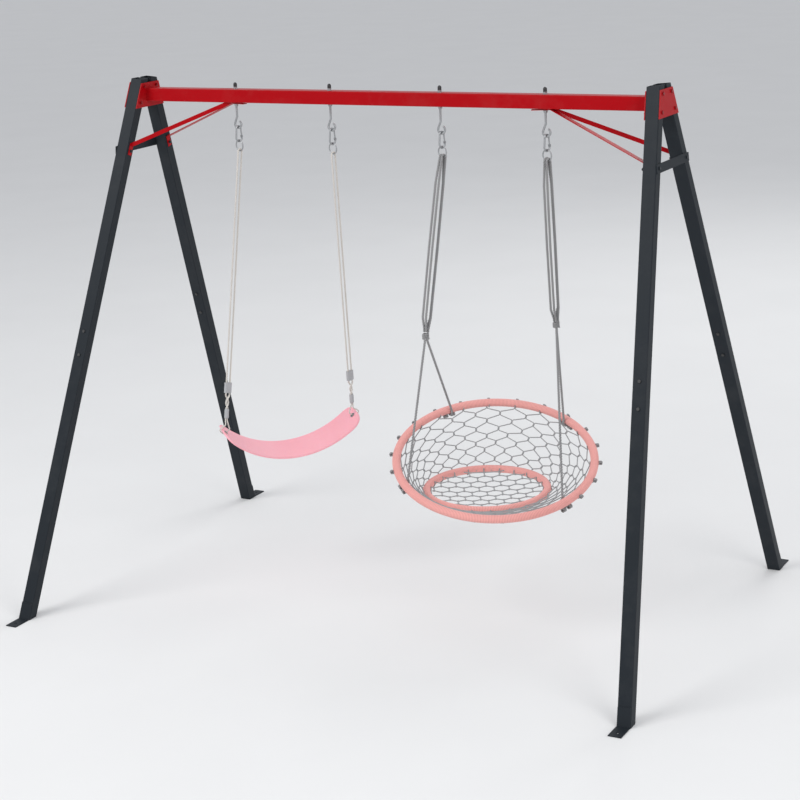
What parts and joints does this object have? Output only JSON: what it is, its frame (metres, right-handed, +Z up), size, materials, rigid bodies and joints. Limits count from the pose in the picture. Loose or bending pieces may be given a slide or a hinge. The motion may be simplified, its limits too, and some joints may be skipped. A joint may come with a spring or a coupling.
{
  "type": "swing set",
  "caption": "Square-tube A-frame swing set with a curved belt seat on paired ropes and a round net nest seat, both hung from hooks under one beam.",
  "frame": {"origin": "on the ground, under the middle of the beam, at the centre of the footprint", "axes": "+X along the beam towards the net seat, -Y to the front, +Z up"},
  "size_m": [3.0502, 2.1494, 2.4026],
  "materials": {
    "red_paint": "satin powder coat",
    "charcoal_paint": "satin powder coat",
    "zinc": "zinc plated, dull",
    "black_bolt": "black oxide",
    "black_plastic": "moulded, satin",
    "cream_rope": "twisted synthetic rope",
    "grey_rope": "twisted synthetic rope and knotted cord",
    "grey_plastic": "moulded, satin",
    "seat_rubber": "flexible moulded belt, satin",
    "ring_cover": "wound cord over a padded ring"
  },
  "bodies": {
    "frame": {"beam": "red_paint", "end_plate_inner_left": "red_paint", "end_plate_inner_right": "red_paint", "end_plate_outer_left": "red_paint", "end_plate_outer_right": "red_paint", "leg_upper_front_left": "charcoal_paint", "leg_upper_back_left": "charcoal_paint", "leg_upper_front_right": "charcoal_paint", "leg_upper_back_right": "charcoal_paint", "leg_lower_front_left": "charcoal_paint", "leg_lower_back_left": "charcoal_paint", "leg_lower_front_right": "charcoal_paint", "leg_lower_back_right": "charcoal_paint", "leg_sleeves": "charcoal_paint", "foot_bracket_front_left": "charcoal_paint", "foot_bracket_back_left": "charcoal_paint", "foot_bracket_front_right": "charcoal_paint", "foot_bracket_back_right": "charcoal_paint", "spreader_left": "charcoal_paint", "spreader_right": "charcoal_paint", "brace_front_left": "red_paint", "brace_back_left": "red_paint", "brace_front_right": "red_paint", "brace_back_right": "red_paint", "frame_bolts": "zinc", "frame_nuts": "zinc", "splice_bolts": "black_bolt", "splice_nuts": "zinc", "hook_belt_left": "zinc", "hook_belt_right": "zinc", "hook_nest_left": "zinc", "hook_nest_right": "zinc", "hook_nuts": "zinc", "hook_washers": "zinc", "hook_caps": "black_plastic"},
    "belt_swing": {"snap_link_belt_left": "zinc", "snap_link_belt_right": "zinc", "belt_rings": "zinc", "belt_rope_left": "cream_rope", "belt_rope_right": "cream_rope", "belt_ferrules": "grey_plastic"},
    "belt_seat": {"belt_seat": "seat_rubber", "belt_eyelets": "zinc"},
    "belt_adjuster_left": {"belt_adjuster_left": "grey_plastic"},
    "belt_adjuster_right": {"belt_adjuster_right": "grey_plastic"},
    "nest_swing": {"snap_link_nest_left": "zinc", "snap_link_nest_right": "zinc", "nest_rings": "zinc", "nest_upper_ropes": "grey_rope", "nest_rope_knots": "grey_rope"},
    "nest_seat": {"nest_lower_ropes": "grey_rope", "nest_outer_ring": "ring_cover", "nest_floor_ring": "ring_cover", "nest_wall_net": "grey_rope", "nest_floor_net": "grey_rope", "nest_ring_knots": "grey_rope"},
    "gate_belt_left": {"snap_gate_belt_left": "zinc"},
    "gate_belt_right": {"snap_gate_belt_right": "zinc"},
    "gate_nest_left": {"snap_gate_nest_left": "zinc"},
    "gate_nest_right": {"snap_gate_nest_right": "zinc"}
  },
  "joints": [
    {"name": "belt_swing", "type": "hinge", "parent": "frame", "child": "belt_swing", "pos_m": [-0.59, 0, 2.175], "axis": [1, 0, 0], "range_deg": [-60, 60]},
    {"name": "belt_seat_rock", "type": "hinge", "parent": "belt_swing", "child": "belt_seat", "pos_m": [-0.59, 0, 0.77], "axis": [0.6691, 0.7431, 0], "range_deg": [-20, 20]},
    {"name": "nest_swing", "type": "hinge", "parent": "frame", "child": "nest_swing", "pos_m": [0.491, 0, 2.175], "axis": [1, 0, 0], "range_deg": [-55, 55]},
    {"name": "nest_seat_rock", "type": "hinge", "parent": "nest_swing", "child": "nest_seat", "pos_m": [0.491, 0, 1.31], "axis": [0.766, 0.6428, 0], "range_deg": [-15, 15]},
    {"name": "belt_adjuster_left_slide", "type": "slide", "parent": "belt_swing", "child": "belt_adjuster_left", "axis": [0.0208, 0.1778, 0.9838], "range_m": [0, 0.3]},
    {"name": "belt_adjuster_right_slide", "type": "slide", "parent": "belt_swing", "child": "belt_adjuster_right", "axis": [0.0789, -0.1773, 0.981], "range_m": [0, 0.3]},
    {"name": "snap_gate_belt_left", "type": "hinge", "parent": "belt_swing", "child": "gate_belt_left", "pos_m": [-0.7688, 0.01429, 2.13777], "axis": [0.9397, -0.342, 0], "range_deg": [0, 28], "stiffness_Nm_per_rad": 0.04, "springref_deg": -20.05},
    {"name": "snap_gate_belt_right", "type": "hinge", "parent": "belt_swing", "child": "gate_belt_right", "pos_m": [-0.2688, 0.01429, 2.13777], "axis": [0.9397, -0.342, 0], "range_deg": [0, 28], "stiffness_Nm_per_rad": 0.04, "springref_deg": -20.05},
    {"name": "snap_gate_nest_left", "type": "hinge", "parent": "nest_swing", "child": "gate_nest_left", "pos_m": [0.2852, 0.01429, 2.13777], "axis": [0.9397, -0.342, 0], "range_deg": [0, 28], "stiffness_Nm_per_rad": 0.04, "springref_deg": -20.05},
    {"name": "snap_gate_nest_right", "type": "hinge", "parent": "nest_swing", "child": "gate_nest_right", "pos_m": [0.7852, 0.01429, 2.13777], "axis": [0.9397, -0.342, 0], "range_deg": [0, 28], "stiffness_Nm_per_rad": 0.04, "springref_deg": -20.05}
  ]
}
